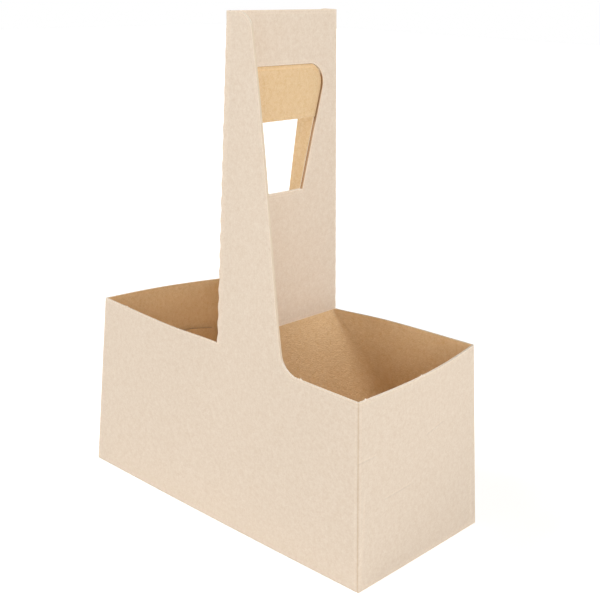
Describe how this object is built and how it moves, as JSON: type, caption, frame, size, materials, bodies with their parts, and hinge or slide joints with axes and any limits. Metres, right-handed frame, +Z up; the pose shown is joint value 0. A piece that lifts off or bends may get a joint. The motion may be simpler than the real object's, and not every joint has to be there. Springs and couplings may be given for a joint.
{
  "type": "cup carrier",
  "caption": "Two-cup carrier folded from fine-flute corrugated card: an open tray with a tall glued carrying handle across its middle and a hinged flap in the hand hole.",
  "frame": {"origin": "middle of the underside of the base", "axes": "+X along the tray, to the right when the long wall whose strip rises on the right is in front; +Y from that front wall to the back wall; +Z up"},
  "size_m": [0.21, 0.102, 0.269],
  "materials": {
    "card": "matt"
  },
  "bodies": {
    "carrier": {"carrier_body": "card"},
    "flap": {"grip_flap": "card"}
  },
  "joints": [
    {"name": "grip_flap_crease", "type": "hinge", "parent": "carrier", "child": "flap", "pos_m": [-0.00135, 0, 0.2414], "axis": [0, 1, 0], "range_deg": [0, 175]}
  ]
}
